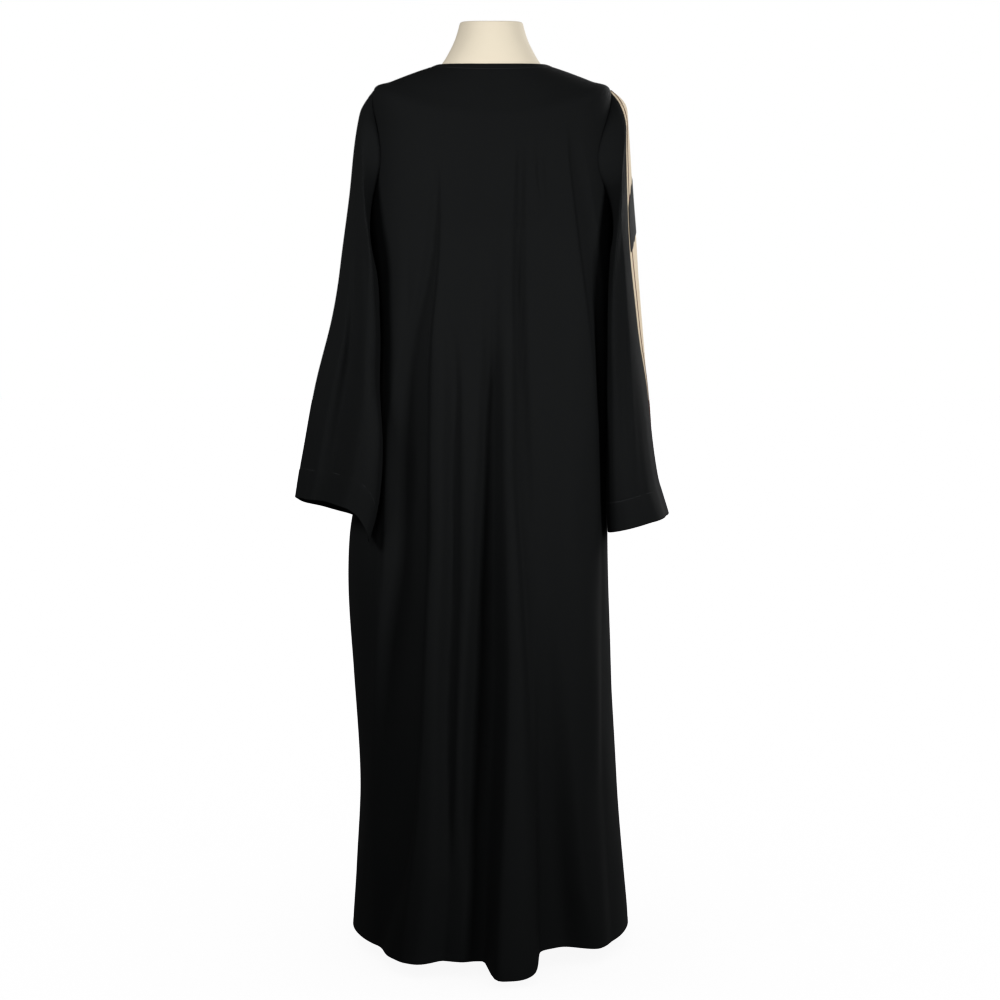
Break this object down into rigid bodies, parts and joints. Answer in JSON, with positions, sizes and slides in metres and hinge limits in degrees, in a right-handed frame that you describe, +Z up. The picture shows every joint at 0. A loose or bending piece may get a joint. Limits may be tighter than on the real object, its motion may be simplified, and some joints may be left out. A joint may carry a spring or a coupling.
{
  "type": "abaya on a dress form",
  "caption": "Long loose black robe with flared hanging sleeves, worn by a limbless dress form on a round-based stand; it stands on its base.",
  "frame": {"origin": "on the floor, at the centre of the round base's underside", "axes": "+Z up; the wearer would face +Y, so the garment's back is at -Y and the wearer's right hand at +X"},
  "size_m": [0.5911, 0.4789, 1.464],
  "materials": {
    "black_cloth": "matte crepe",
    "pale_cloth": "matte crepe",
    "form_cover": "matte stretched cover",
    "stand_metal": "satin powder coat"
  },
  "bodies": {
    "root": {"back_panel": "black_cloth", "front_panel": "black_cloth", "sleeve_left_back": "black_cloth", "sleeve_left_front": "black_cloth", "sleeve_right_back": "black_cloth", "sleeve_right_front": "pale_cloth", "sleeve_right_band": "black_cloth", "dress_form": "form_cover", "stand_base": "stand_metal", "stand_pole": "stand_metal"}
  },
  "joints": []
}
